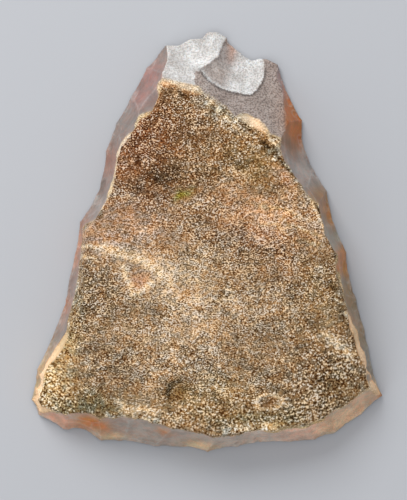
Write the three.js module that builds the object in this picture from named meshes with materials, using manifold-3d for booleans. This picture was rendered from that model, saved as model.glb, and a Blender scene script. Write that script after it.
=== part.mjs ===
// A unifacial stone tool: a trapezoidal scraper made on a thick flake of chalcedony.
// Its underside is flat and unworked. Its back keeps the pebble's rough skin, and short steep flake
// scars along the edges, with three longer ones at the narrow end, cut down through that skin.
//
// Millimetres, +Z up. The tool lies on its flat underside with its narrow end towards +Y. The origin
// is the middle of its outline, at the height of the underside.
//
// The solid is made the way the tool was: a blank with the outline's corners, topped by the surface
// of the skin, from which each flake is taken off as a shallow bowl. Where two bowls meet they leave
// a sharp ridge.

import * as THREE from "three";
import { mergeVertices } from "three/addons/utils/BufferGeometryUtils.js";
import Module from "manifold-3d";

const wasm = await Module();
wasm.setup();

// Overall sizes
const LENGTH = 84; // narrow end to working edge
const WIDTH = 70.7; // across the two corners of the working edge
const THICKNESS = 12; // underside to the crest of the skin, which its swellings add a little to
const BUTT_WIDTH = 23.9; // across the shoulders of the narrow end
const BUTT_SHIFT = 2.15; // how far the narrow end stands off the middle
const BUTT_SKEW = 2.1; // how much further out its left shoulder stands than its right one
const WORKING_EDGE_SKEW = 0.8; // how much further out its left corner stands than its right one
const WORKING_EDGE_SWELL = 11; // how far the working edge bows out past its corners
const BUTT_SWELL = 5.45; // how far the narrow end bows out past its shoulders
const LEFT_SWELL = 3.4; // how far the left side bows out
const RIGHT_SWELL = 1.6; // how far the right side bows out

// The rim
const RIM_LIFT = 0.7; // the sharp edges stand this far above the underside
const BUTT_WALL = 2.2; // top of the blunt wall left at the narrow end
const RIM_SETBACK = 4; // width of the border of the underside that turns up to the edges

// Flaking
const EDGE_HOLLOW = 0.45; // how deep an edge scar bites in behind its chord
const BOWL_DEPTH = 6; // half the thickness of the bowl that takes off a flake
const SLOPE_SHARE = 0.5; // share of the hollow that a bowl's slope takes, and its width the rest

// Fineness
const SKIN_STEP = 3.4; // spacing of the points on the skin
const BOWL_DETAIL = 6; // subdivision of a bowl
const SMALLEST_DETAIL = 0.01; // anything finer is left by the cuts and is merged away

const HALF_LENGTH = LENGTH / 2;
const HALF_WIDTH = WIDTH / 2;

// The corners of the outline
const SHOULDERS = HALF_LENGTH - BUTT_SWELL;
const CORNERS = WORKING_EDGE_SWELL - HALF_LENGTH;
const LEFT_SHOULDER = new THREE.Vector2(BUTT_SHIFT - BUTT_WIDTH / 2, SHOULDERS + BUTT_SKEW / 2);
const RIGHT_SHOULDER = new THREE.Vector2(BUTT_SHIFT + BUTT_WIDTH / 2, SHOULDERS - BUTT_SKEW / 2);
const LEFT_CORNER = new THREE.Vector2(-HALF_WIDTH, CORNERS - WORKING_EDGE_SKEW / 2);
const RIGHT_CORNER = new THREE.Vector2(HALF_WIDTH, CORNERS + WORKING_EDGE_SKEW / 2);

// The edges, anticlockwise from above. Each flake is [where along the edge its scar ends, how far out
// that end stands, how far the scar runs in over the back]: two shares, of the edge and of its swell,
// and a length. The narrow end has no reach, because its wall was never sharpened.
const EDGES = [
  {
    from: LEFT_SHOULDER,
    to: LEFT_CORNER,
    swell: LEFT_SWELL,
    flakes: [
      [0.04, 0.38, 3.6],
      [0.13, 0.68, 4.4],
      [0.22, 0.97, 4],
      [0.32, 1, 2.8],
      [0.4, 0.59, 2.4],
      [0.5, 0.97, 2.8],
      [0.57, 0.65, 1.3],
      [0.68, 0.35, 2.3],
      [0.71, 0.15, 2.7],
      [0.83, 0.15, 2.9],
      [0.92, 0.32, 2],
      [1, 0, 1.2],
    ],
  },
  {
    from: LEFT_CORNER,
    to: RIGHT_CORNER,
    swell: WORKING_EDGE_SWELL,
    flakes: [
      [0.02, 0.29, 1.3],
      [0.09, 0.56, 2.6],
      [0.16, 0.64, 3.4],
      [0.19, 0.78, 4.2],
      [0.26, 0.79, 5.4],
      [0.35, 0.89, 5.4],
      [0.45, 0.92, 4],
      [0.5, 1, 2.4],
      [0.58, 0.91, 2.7],
      [0.67, 0.82, 2.6],
      [0.73, 0.85, 2.4],
      [0.8, 0.8, 3.1],
      [0.86, 0.68, 3.9],
      [0.93, 0.37, 4.1],
      [1, 0, 3.6],
    ],
  },
  {
    from: RIGHT_CORNER,
    to: RIGHT_SHOULDER,
    swell: RIGHT_SWELL,
    flakes: [
      [0.05, -0.38, 1.4],
      [0.15, 0, 1.4],
      [0.2, 0.25, 2.6],
      [0.29, 0.38, 2.8],
      [0.38, 0.56, 2.4],
      [0.43, 1.08, 2.3],
      [0.51, 0.63, 2.6],
      [0.61, 1, 2.5],
      [0.69, 0.25, 3.6],
      [0.77, 0, 4.6],
      [0.82, 0.94, 4],
      [0.89, 0.19, 3.6],
      [1, 0, 2.2],
    ],
  },
  {
    from: RIGHT_SHOULDER,
    to: LEFT_SHOULDER,
    swell: BUTT_SWELL,
    flakes: [
      [0.1, 0.17],
      [0.19, 0.16],
      [0.27, 0.34],
      [0.35, 0.57],
      [0.42, 0.77],
      [0.53, 1],
      [0.61, 0.97],
      [0.65, 0.72],
      [0.75, 0.65],
      [0.84, 0.38],
      [0.95, 0.34],
      [1, 0],
    ],
  },
];

// The three long scars that thin the narrow end, in the order they were struck. Each starts at a
// point on the end's wall, given as [out from the middle, back from the tip], and runs in at a
// bearing (degrees from +X). It comes out at the skin, or where it climbs by its own rise.
const THINNING_SCARS = [
  { start: [10.5, 6], bearing: 245.6, width: 60, reach: 11.3, hollow: 1.1 },
  { start: [-3.4, 1.2], bearing: 257, width: 15, reach: 10.3, hollow: 0.8 },
  { start: [7.3, 2.8], bearing: 249, width: 16.6, reach: 9.1, hollow: 1.8, rise: 4.4 },
];

// The skin rises to a crest and falls off to every side, by these shares of the thickness.
const FALL_ACROSS = 0.26;
const FALL_ALONG = 0.3;
const CREST_BACK = 0.12; // the crest lies this share of half the length towards the working edge

// Broad swellings (+) and hollows (-) of the skin: [x and y as shares of half the width and half the
// length, radius, rise]
const SWELLINGS = [
  [-0.32, -0.3, 13, 0.9],
  [0.47, -0.1, 11, 0.7],
  [-0.18, 0.27, 7, -0.8],
  [-0.05, 0.85, 15, -1.7],
  [-1, -0.72, 10, -3.2],
  [1, -0.76, 9, -3],
];

// Height of the skin over a point of the outline
function skinHeight(x, y) {
  const across = x / HALF_WIDTH;
  const along = y / HALF_LENGTH + CREST_BACK;
  const dome = THICKNESS * (1 - FALL_ACROSS * across ** 2 - FALL_ALONG * along ** 2);
  return SWELLINGS.reduce((height, [sx, sy, radius, rise]) => {
    const distance = Math.hypot(x - sx * HALF_WIDTH, y - sy * HALF_LENGTH);
    return height + rise * Math.exp(-((distance / radius) ** 2));
  }, dome);
}

// A closed body in the solid library, from a geometry of three.js
function solidOf(geometry) {
  const bare = geometry.index ? geometry.toNonIndexed() : geometry.clone();
  bare.deleteAttribute("normal");
  bare.deleteAttribute("uv");
  const merged = mergeVertices(bare);
  return new wasm.Manifold(
    new wasm.Mesh({
      numProp: 3,
      vertProperties: new Float32Array(merged.attributes.position.array),
      triVerts: new Uint32Array(merged.index.array),
    }),
  );
}

// A geometry of three.js, from a closed body
function geometryOf(solid) {
  const mesh = solid.getMesh();
  const geometry = new THREE.BufferGeometry();
  geometry.setAttribute("position", new THREE.BufferAttribute(mesh.vertProperties, mesh.numProp));
  geometry.setIndex(new THREE.BufferAttribute(mesh.triVerts, 1));
  return geometry;
}

// The scars of one edge: the two ends of each on the outline, and its reach
function scarsOf({ from, to, swell, flakes }) {
  const run = to.clone().sub(from);
  const outward = new THREE.Vector2(run.y, -run.x).normalize();
  let start = from;
  return flakes.map(([share, stand, reach]) => {
    const end = from.clone().addScaledVector(run, share).addScaledVector(outward, stand * swell);
    const scar = { start, end, reach };
    start = end;
    return scar;
  });
}

// The blank: stacked copies of the outline, each [how far it is set back, height]
function blank(outline) {
  const radius = outline.reduce((sum, p) => sum + p.length(), 0) / outline.length;
  const rings = [
    [RIM_SETBACK, 0],
    [0, RIM_LIFT],
    [0, 2 * THICKNESS],
  ];
  const corner = ([setback, height], p) => {
    const scale = 1 - setback / radius;
    return [p.x * scale, p.y * scale, height];
  };
  const positions = [];
  outline.forEach((p, i) => {
    const q = outline[(i + 1) % outline.length];
    positions.push(0, 0, 0, ...corner(rings[0], q), ...corner(rings[0], p));
    rings.slice(1).forEach((upper, k) => {
      const lower = rings[k];
      positions.push(...corner(lower, p), ...corner(lower, q), ...corner(upper, q));
      positions.push(...corner(lower, p), ...corner(upper, q), ...corner(upper, p));
    });
    const top = rings[rings.length - 1];
    positions.push(0, 0, top[1], ...corner(top, p), ...corner(top, q));
  });
  const geometry = new THREE.BufferGeometry();
  geometry.setAttribute("position", new THREE.Float32BufferAttribute(positions, 3));
  return solidOf(geometry);
}

// Everything above the skin: a box that reaches past the blank to every side, with the skin under it
function aboveSkin() {
  const width = WIDTH + 2 * SKIN_STEP;
  const length = LENGTH + 2 * SKIN_STEP;
  const columns = Math.round(width / SKIN_STEP);
  const rows = Math.round(length / SKIN_STEP);
  const box = new THREE.BoxGeometry(width, length, THICKNESS, columns, rows, 1);
  const position = box.attributes.position;
  for (let i = 0; i < position.count; i++) {
    const skin = skinHeight(position.getX(i), position.getY(i));
    position.setZ(i, position.getZ(i) < 0 ? skin : 3 * THICKNESS);
  }
  return solidOf(box);
}

// The bowl that takes off one flake. It passes through both ends of the chord, bites in behind the
// chord and comes out of the back at the reach, at the height given.
function bowl({ start, end, reach, inward, foot, top, hollow }) {
  const middle = new THREE.Vector3((start.x + end.x) / 2, (start.y + end.y) / 2, foot);
  const half = start.distanceTo(end) / 2;
  const climb = new THREE.Vector3(inward.x * reach, inward.y * reach, top - foot);
  const slope = climb.length();
  const up = climb.clone().normalize();
  const along = new THREE.Vector3(-inward.y, inward.x, 0);
  const out = new THREE.Vector3().crossVectors(up, along).normalize();
  if (out.z < 0) out.negate();

  // The bowl's depth is given. Its length follows from the two ends of the slope, and its width from
  // the two ends of the chord.
  const rim = 1 - (1 - hollow / BOWL_DEPTH) ** 2;
  const length = slope / 2 / Math.sqrt(rim * SLOPE_SHARE);
  const width = half / Math.sqrt(rim * (1 - SLOPE_SHARE));

  const centre = middle.clone().addScaledVector(climb, 0.5).addScaledVector(out, BOWL_DEPTH - hollow);
  const side = new THREE.Vector3().crossVectors(up, out);
  const placed = new THREE.Matrix4()
    .makeBasis(side.multiplyScalar(width), up.multiplyScalar(length), out.multiplyScalar(BOWL_DEPTH))
    .setPosition(centre);
  const ball = new THREE.IcosahedronGeometry(1, BOWL_DETAIL).applyMatrix4(placed);
  return solidOf(ball);
}

// The bowl of a short scar on a sharp edge
function edgeBowl({ start, end, reach }) {
  const chord = end.clone().sub(start);
  const inward = new THREE.Vector2(-chord.y, chord.x).normalize();
  const inner = start.clone().add(end).multiplyScalar(0.5).addScaledVector(inward, reach);
  const top = skinHeight(inner.x, inner.y);
  return bowl({ start, end, reach, inward, foot: RIM_LIFT, top, hollow: EDGE_HOLLOW });
}

// The bowl of a long scar at the narrow end
function thinningBowl({ start, bearing, width, reach, hollow, rise }) {
  const angle = THREE.MathUtils.degToRad(bearing);
  const inward = new THREE.Vector2(Math.cos(angle), Math.sin(angle));
  const across = new THREE.Vector2(-inward.y, inward.x).multiplyScalar(width / 2);
  const at = new THREE.Vector2(start[0], HALF_LENGTH - start[1]);
  const inner = at.clone().addScaledVector(inward, reach);
  return bowl({
    start: at.clone().sub(across),
    end: at.clone().add(across),
    reach,
    inward,
    foot: BUTT_WALL,
    top: rise ? BUTT_WALL + rise : skinHeight(inner.x, inner.y),
    hollow,
  });
}

const scars = EDGES.flatMap(scarsOf);
const flaked = scars.filter(({ reach }) => reach !== undefined);
let stone = blank(scars.map(({ end }) => end)).subtract(aboveSkin());
for (const scar of flaked) stone = stone.subtract(edgeBowl(scar));
for (const scar of THINNING_SCARS) stone = stone.subtract(thinningBowl(scar));
stone = stone.simplify(SMALLEST_DETAIL);

// The origin is set to the middle of the finished outline.
const box = stone.boundingBox();
stone = stone.translate([-(box.min[0] + box.max[0]) / 2, -(box.min[1] + box.max[1]) / 2, -box.min[2]]);

const chalcedony = new THREE.MeshStandardMaterial({ color: 0x9a7a58, roughness: 0.75, metalness: 0 });
const tool = new THREE.Mesh(geometryOf(stone), chalcedony);
tool.name = "stone_tool";

const group = new THREE.Group();
group.add(tool);
export default group;
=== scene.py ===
# %% [markdown]
# A flaked stone scraper, seen from straight above.
#
# The tool is one piece of chalcedony. Its underside is plain and flat. Its back still carries the
# rough brown skin of the pebble, and short steep scars along the edges cut through that skin into
# the smooth, cloudy stone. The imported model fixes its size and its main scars. Here the same scars
# are made again on a much finer mesh, with chips, ripples and pits, and then they are coloured.

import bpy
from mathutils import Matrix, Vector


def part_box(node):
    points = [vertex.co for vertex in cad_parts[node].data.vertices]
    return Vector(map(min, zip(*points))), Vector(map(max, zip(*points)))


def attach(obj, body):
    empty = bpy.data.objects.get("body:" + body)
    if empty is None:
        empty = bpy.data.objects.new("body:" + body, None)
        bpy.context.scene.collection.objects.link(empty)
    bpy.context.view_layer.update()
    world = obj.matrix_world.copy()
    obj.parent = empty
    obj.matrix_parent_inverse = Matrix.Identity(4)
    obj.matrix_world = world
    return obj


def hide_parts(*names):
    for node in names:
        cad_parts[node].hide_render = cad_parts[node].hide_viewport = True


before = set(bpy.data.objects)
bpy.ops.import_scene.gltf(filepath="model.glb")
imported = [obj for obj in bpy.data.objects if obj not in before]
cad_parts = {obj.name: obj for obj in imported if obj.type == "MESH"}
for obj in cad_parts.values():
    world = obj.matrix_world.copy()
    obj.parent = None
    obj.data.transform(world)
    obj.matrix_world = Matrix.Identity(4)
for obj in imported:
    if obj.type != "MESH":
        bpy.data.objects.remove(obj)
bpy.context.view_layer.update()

# %% Units and the size of the tool
import math

import bpy
import numpy as np

MM = 0.001  # Blender works in metres, and this script thinks in millimetres
low, high = (np.array(corner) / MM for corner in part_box("stone_tool"))
WIDTH, LENGTH, HEIGHT = high - low
HALF_WIDTH, HALF_LENGTH = WIDTH / 2, LENGTH / 2
print(f"tool: {WIDTH:.1f} x {LENGTH:.1f} x {HEIGHT:.1f} mm")

# %% [markdown]
# Stone is never smooth and never regular, so most of this script leans on noise. Blender has a noise
# module, but it is asked one point at a time. The few lines below work on all points at once. A
# number is drawn for each crossing of a grid, by mixing up the digits of its two coordinates, and
# what lies between is blended. The same coordinates always give the same number, so the stone comes
# out the same each time.

# %% Noise on a plane
def digits(column, row, seed):
    """A number from 0 to 1 for each crossing of a grid, always the same one."""
    mixed = (column * 374761393 + row * 668265263 + seed * 1013904223) & 0xFFFFFFFF
    mixed = ((mixed ^ (mixed >> 13)) * 1274126177) & 0xFFFFFFFF
    return ((mixed ^ (mixed >> 16)) & 0xFFFF) / 0xFFFF


def waves(x, y, length, seed, layers=1):
    """Smooth noise from -1 to 1 with the given wavelength, and finer layers of half the strength."""
    total, strength, weight = 0, 0, 1
    for layer in range(layers):
        u, v = x / length * 2**layer, y / length * 2**layer
        column, row = np.floor(u).astype(np.int64), np.floor(v).astype(np.int64)
        right, up = (np.clip(t, 0, 1) for t in (u - column, v - row))
        right, up = (t * t * (3 - 2 * t) for t in (right, up))
        corner = [digits(column + a, row + b, seed + layer) for b in (0, 1) for a in (0, 1)]
        lower = corner[0] * (1 - right) + corner[1] * right
        upper = corner[2] * (1 - right) + corner[3] * right
        total = total + weight * (2 * (lower * (1 - up) + upper * up) - 1)
        strength += weight
        weight /= 2
    return total / strength


def nearest(x, y, spacing, seed):
    """How far the nearest of many scattered points lies, and a number of its own from 0 to 1."""
    column, row = (np.floor(t / spacing).astype(np.int64) for t in (x, y))
    best, own = np.full(x.shape, np.inf), np.zeros(x.shape)
    for a in (-1, 0, 1):
        for b in (-1, 0, 1):
            px = (column + a + digits(column + a, row + b, seed)) * spacing
            py = (row + b + digits(column + a, row + b, seed + 1)) * spacing
            away = np.hypot(x - px, y - py)
            closer = away < best
            best = np.where(closer, away, best)
            own = np.where(closer, digits(column + a, row + b, seed + 2), own)
    return best, own


def fade(value, start, stop):
    """0 before start, 1 after stop, and a smooth step between."""
    t = np.clip((value - start) / (stop - start), 0, 1)
    return t * t * (3 - 2 * t)


print("noise at two points:", waves(np.array([0.1, 7.9]), np.array([0.5, 4.4]), 3, 1).round(3))

# %% [markdown]
# The outline comes from how the tool was made. Each blow took off a flake and left a scar, and two
# scars meet at a small point that stands out from the edge. So each edge is a list of scars: where
# along the edge the scar ends, how far out that end stands, and how far the scar runs in over the
# back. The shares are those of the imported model, so that the two outlines are the same.

# %% The corners and the scars
BUTT_WIDTH, BUTT_SHIFT, BUTT_SKEW = 23.9, 2.15, 2.1
WORKING_EDGE_SWELL, WORKING_EDGE_SKEW = 11, 0.8
BUTT_SWELL, LEFT_SWELL, RIGHT_SWELL = 5.45, 3.4, 1.6
SHOULDERS = HALF_LENGTH - BUTT_SWELL
CORNERS = WORKING_EDGE_SWELL - HALF_LENGTH

LEFT_SHOULDER = np.array([BUTT_SHIFT - BUTT_WIDTH / 2, SHOULDERS + BUTT_SKEW / 2])
RIGHT_SHOULDER = np.array([BUTT_SHIFT + BUTT_WIDTH / 2, SHOULDERS - BUTT_SKEW / 2])
LEFT_CORNER = np.array([-HALF_WIDTH, CORNERS - WORKING_EDGE_SKEW / 2])
RIGHT_CORNER = np.array([HALF_WIDTH, CORNERS + WORKING_EDGE_SKEW / 2])

LEFT_SCARS = [
    (0.04, 0.38, 3.6), (0.13, 0.68, 4.4), (0.22, 0.97, 4), (0.32, 1, 2.8), (0.4, 0.59, 2.4),
    (0.5, 0.97, 2.8), (0.57, 0.65, 1.3), (0.68, 0.35, 2.3), (0.71, 0.15, 2.7), (0.83, 0.15, 2.9),
    (0.92, 0.32, 2), (1, 0, 1.2),
]
WORKING_EDGE_SCARS = [
    (0.02, 0.29, 1.3), (0.09, 0.56, 2.6), (0.16, 0.64, 3.4), (0.19, 0.78, 4.2), (0.26, 0.79, 5.4),
    (0.35, 0.89, 5.4), (0.45, 0.92, 4), (0.5, 1, 2.4), (0.58, 0.91, 2.7), (0.67, 0.82, 2.6),
    (0.73, 0.85, 2.4), (0.8, 0.8, 3.1), (0.86, 0.68, 3.9), (0.93, 0.37, 4.1), (1, 0, 3.6),
]
RIGHT_SCARS = [
    (0.05, -0.38, 1.4), (0.15, 0, 1.4), (0.2, 0.25, 2.6), (0.29, 0.38, 2.8), (0.38, 0.56, 2.4),
    (0.43, 1.08, 2.3), (0.51, 0.63, 2.6), (0.61, 1, 2.5), (0.69, 0.25, 3.6), (0.77, 0, 4.6),
    (0.82, 0.94, 4), (0.89, 0.19, 3.6), (1, 0, 2.2),
]
BUTT_POINTS = [
    (0.1, 0.17, 0), (0.19, 0.16, 0), (0.27, 0.34, 0), (0.35, 0.57, 0), (0.42, 0.77, 0), (0.53, 1, 0),
    (0.61, 0.97, 0), (0.65, 0.72, 0), (0.75, 0.65, 0), (0.84, 0.38, 0), (0.95, 0.34, 0), (1, 0, 0),
]
EDGES = [
    (LEFT_SHOULDER, LEFT_CORNER, LEFT_SWELL, LEFT_SCARS),
    (LEFT_CORNER, RIGHT_CORNER, WORKING_EDGE_SWELL, WORKING_EDGE_SCARS),
    (RIGHT_CORNER, RIGHT_SHOULDER, RIGHT_SWELL, RIGHT_SCARS),
    (RIGHT_SHOULDER, LEFT_SHOULDER, BUTT_SWELL, BUTT_POINTS),
]


def scars_of(start, stop, swell, shares):
    """The scars of one edge: the two ends of each on the outline, and its reach."""
    run = stop - start
    outward = np.array([run[1], -run[0]]) / np.hypot(*run)
    ends = [start] + [start + share * run + stand * swell * outward for share, stand, _ in shares]
    return [(a, b, reach) for a, b, (_, _, reach) in zip(ends, ends[1:], shares)]


scars = [scar for edge in EDGES for scar in scars_of(*edge)]
outline = np.array([end for _, end, _ in scars])
edge_scars = [scar for scar in scars if scar[2]]
print(f"outline: {len(outline)} points, of which {len(edge_scars)} end an edge scar")

# %% [markdown]
# The back is a low dome with a few broad swellings. On top of that, rough skin has a relief of its
# own: slow undulations, lumps of a few millimetres, and pores where softer grains weathered out. It
# also has marks of its own: one round pit, one dent, one small ring and a few pale creases. All
# of it is a height over the table, because a camera straight above sees nothing that a height can't
# give, and because the scars are then cut by simply keeping whatever is lower.

# %% The skin of the back
SWELLING_RISE = 0.6  # what the swellings add to the crest of the dome
DOME_HEIGHT = HEIGHT - SWELLING_RISE
FALL_ACROSS, FALL_ALONG, CREST_BACK = 0.26, 0.3, 0.12
SWELLINGS = [
    (-0.32, -0.3, 13, 0.9), (0.47, -0.1, 11, 0.7), (-0.18, 0.27, 7, -0.8),
    (-0.05, 0.85, 15, -1.7), (-1, -0.72, 10, -3.2), (1, -0.76, 9, -3),
]


def dome(x, y):
    """Height of the skin without its roughness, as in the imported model."""
    across, along = x / HALF_WIDTH, y / HALF_LENGTH + CREST_BACK
    height = DOME_HEIGHT * (1 - FALL_ACROSS * across**2 - FALL_ALONG * along**2)
    for share_x, share_y, radius, rise in SWELLINGS:
        away = np.hypot(x - share_x * HALF_WIDTH, y - share_y * HALF_LENGTH)
        height = height + rise * np.exp(-((away / radius) ** 2))
    return height


def pool(x, y, place, size, turn=0):
    """1 in the middle of an oval place, fading to 0 around it. Lengths in mm, turn in degrees."""
    c, s = math.cos(math.radians(turn)), math.sin(math.radians(turn))
    dx, dy = x - place[0], y - place[1]
    return np.exp(-(((dx * c + dy * s) / size[0]) ** 2) - ((dy * c - dx * s) / size[1]) ** 2)


def line(x, y, points, width):
    """1 along a chain of points, fading to 0 beside it, with noise bending its course."""
    x = x + 0.7 * waves(x, y, 2.6, 41, 3)
    y = y + 0.7 * waves(x, y, 2.6, 51, 3)
    away = np.full(x.shape, np.inf)
    for start, end in zip(points, points[1:]):
        run = np.subtract(end, start)
        t = np.clip(((x - start[0]) * run[0] + (y - start[1]) * run[1]) / (run @ run), 0, 1)
        away = np.minimum(away, np.hypot(x - start[0] - t * run[0], y - start[1] - t * run[1]))
    return np.exp(-((away / width) ** 2))


PIT, PIT_SIZE = (-5.4, -29.6), (2.9, 2.5)
RING, RING_SIZE = (12.2, -31.6), (2.5, 1.5)
DENT, DENT_SIZE = (-13.9, -7.3), (2.2, 1.5)
PIT_DEPTH, DENT_DEPTH, CREASE_RISE, RING_RISE, RING_HOLLOW = 1.0, 0.5, 0.24, 0.25, 0.35
SLOW_RELIEF, LUMP_RELIEF = 0.42, 0.16
PORE_SPACING, PORE_DEPTH, PORE_RADIUS = 1.25, 0.17, 0.34
ROOM_FOR_RELIEF = 0.12  # the dome is lowered by this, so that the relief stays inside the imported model
CREASES = [  # pale ridges on the skin, each a chain of points and a width
    ([(23.2, -17.8), (25.4, -20), (28.8, -22.4)], 0.95), ([(-24.4, -1.2), (-20, -1.3)], 0.45),
    ([(-20, -1.3), (-16.2, -2.4), (-12.6, -3.6), (-9.4, -6.2), (-7.2, -7.8)], 0.95),
    ([(-25, -2.8), (-23.4, -3.3), (-21.8, -3.2)], 0.4),
    ([(-16.8, -5), (-15.2, -8.6), (-14.3, -10.3), (-12.6, -9.4), (-11.2, -8.2)], 0.6),
    ([(-17.5, -31.5), (-15.5, -33.4), (-12.5, -33), (-10, -33.8)], 0.7),
    ([(11.6, 21), (15, 17.9), (18.2, 14.8)], 0.4), ([(20.4, 8.4), (22.4, 4.2), (23.6, 1.6)], 0.4),
]


def ring_share(x, y):
    """How far out from the middle of the ring mark a point lies, 1 on the ring itself."""
    x, y = x + 0.35 * waves(x, y, 1.6, 81, 2), y + 0.35 * waves(x, y, 1.6, 91, 2)
    return np.hypot((x - RING[0]) / RING_SIZE[0], (y - RING[1]) / RING_SIZE[1])


def skin(x, y):
    """Height of the rough skin."""
    height = dome(x, y) - ROOM_FOR_RELIEF
    height = height + SLOW_RELIEF * waves(x, y, 12, 11, 3) + LUMP_RELIEF * waves(x, y * 1.5, 3.6, 21, 2)
    away, own = nearest(x, y, PORE_SPACING, 31)
    height = height - PORE_DEPTH * (0.3 + own) * np.exp(-((away / PORE_RADIUS) ** 2))
    pit = pool(x, y, PIT, PIT_SIZE)
    height = height - PIT_DEPTH * pit * (1.8 - 0.8 * pit)
    height = height - DENT_DEPTH * pool(x, y, DENT, DENT_SIZE, 20)
    for points, width in CREASES:
        height = height + CREASE_RISE * line(x, y, points, width)
    ring_out = ring_share(x, y)
    height = height + RING_RISE * np.exp(-(((ring_out - 1) / 0.22) ** 2))
    return height - RING_HOLLOW * np.exp(-((ring_out / 0.7) ** 2))


print("skin over the middle:", skin(np.zeros(1), np.zeros(1)).round(2), "mm")

# %% [markdown]
# A flake leaves a shallow, shell-like bowl. An ellipsoid is the simplest body with that shape, so
# each scar is the bed of one, laid through the two ends of the scar and out of the back where it
# stops. Brittle stone also shows ripples in the bowl, rings around the point that was struck. They
# are added as a slow wave over the distance from that point.

# %% The bed of a flake
RIM_LIFT = 0.7  # the sharp edges stand this far above the table
EDGE_HOLLOW = 0.45
BOWL_DEPTH = 6
SLOPE_SHARE = 0.5


class Bed:
    """The lower side of an ellipsoid through both ends of a chord and out of the back."""

    def __init__(self, start, end, reach, inward, foot, top, hollow, ripple=0.03, wave=1.3):
        middle = np.array([*(start + end) / 2, foot])
        climb = np.array([*(inward * reach), top - foot])
        slope = np.linalg.norm(climb)
        up = climb / slope
        out = np.cross(up, [-inward[1], inward[0], 0])
        out *= math.copysign(1 / np.linalg.norm(out), out[2])
        rim = 1 - (1 - hollow / BOWL_DEPTH) ** 2
        half_length = slope / 2 / math.sqrt(rim * SLOPE_SHARE)
        half_width = np.hypot(*(end - start)) / 2 / math.sqrt(rim * (1 - SLOPE_SHARE))
        self.struck = middle
        self.centre = middle + climb / 2 + out * (BOWL_DEPTH - hollow)
        self.axes = np.array([np.cross(up, out), up, out])
        self.half = np.array([half_width, half_length, BOWL_DEPTH])
        self.spread = self.half @ abs(self.axes[:, :2])
        self.ripple, self.wave = ripple, wave

    def floor(self, x, y):
        """Height of the bed over each point, and infinite where the bed doesn't reach."""
        flat = np.stack([x - self.centre[0], y - self.centre[1], np.full(x.shape, -self.centre[2])], -1)
        flat = flat @ self.axes.T / self.half
        rise = self.axes[:, 2] / self.half
        a, b, c = rise @ rise, flat @ rise, (flat**2).sum(-1) - 1
        root = b * b - a * c
        z = (-b - np.sqrt(np.maximum(root, 0))) / a
        away = np.sqrt((x - self.struck[0]) ** 2 + (y - self.struck[1]) ** 2 + (z - self.struck[2]) ** 2)
        z = z + self.ripple * np.sin(2 * math.pi * away / self.wave)
        return np.where(root > 0, z, np.inf)


def inward_of(start, end):
    """The direction from an edge's chord towards the middle of the stone."""
    run = end - start
    return np.array([-run[1], run[0]]) / np.hypot(*run)


def edge_bed(start, end, reach):
    """The bed of a short scar on a sharp edge."""
    inward = inward_of(start, end)
    inner = (start + end) / 2 + inward * reach
    return Bed(start, end, reach, inward, RIM_LIFT, float(dome(*inner)), EDGE_HOLLOW)


edge_beds = [edge_bed(*scar) for scar in edge_scars]
print(f"edge beds: {len(edge_beds)}")

# %% [markdown]
# At the narrow end longer flakes thinned the tool. They were struck one after another, so each cuts
# the ones before it.

# %% The thinning scars
BUTT_WALL = 2.2


def thinning_bed(out_from_middle, back_from_tip, bearing, width, reach, hollow, rise=None):
    """The bed of a long scar at the narrow end, from a point on the end's wall and a bearing."""
    angle = math.radians(bearing)
    inward = np.array([math.cos(angle), math.sin(angle)])
    across = np.array([-inward[1], inward[0]]) * width / 2
    at = np.array([out_from_middle, HALF_LENGTH - back_from_tip])
    inner = at + inward * reach
    top = float(dome(*inner)) if rise is None else BUTT_WALL + rise
    return Bed(at - across, at + across, reach, inward, BUTT_WALL, top, hollow, 0.035, 2.1)


right_thinning = thinning_bed(10.5, 6, 245.6, 60, 11.3, 1.1)
left_thinning = thinning_bed(-3.4, 1.2, 257, 15, 10.3, 0.8)
lobe = thinning_bed(-0.4, 0.9, 262, 8.4, 5.2, 0.8, 1.6)
print("thinning scar from", right_thinning.struck.round(1), "and from", left_thinning.struck.round(1))

# %% [markdown]
# The last of these flakes left a small lens, pointed on its left and square on its right. It stops in
# a hinge: its far side turns up sharply and catches the light. No ellipsoid has that shape, so this
# scar is drawn by its rim, and sinks into the two scars that it cuts.

# %% The lens
LENS_MIDDLE = (5.9, 34.8)
LENS_RIM = np.array([
    (3.9, 40.9), (2.8, 38.9), (2.2, 37), (0.3, 35.7), (-1.4, 34.5), (-0.4, 32.9), (1.5, 31.4),
    (3.7, 30.3), (6.2, 29.8), (8.5, 29.4), (9.6, 30.2), (10.6, 31.7), (11.2, 33.8), (11, 36.6),
    (9.8, 39.5), (6.6, 43),
])
LENS_HOLLOW, LENS_STEP = 1.05, 0.3
LENS_SOFTNESS = 0.5  # how round the ridge between the two older scars becomes under the lens


def lens_share(x, y):
    """How far out from the middle of the lens a point lies, 1 on the rim, and the rim's distance."""
    rim = LENS_RIM - LENS_MIDDLE
    bearing = np.degrees(np.arctan2(rim[:, 1], rim[:, 0]))
    dx, dy = x - LENS_MIDDLE[0], y - LENS_MIDDLE[1]
    reach = np.interp(np.degrees(np.arctan2(dy, dx)), bearing, np.hypot(*rim.T), period=360)
    return np.hypot(dx, dy) / reach, reach


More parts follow.
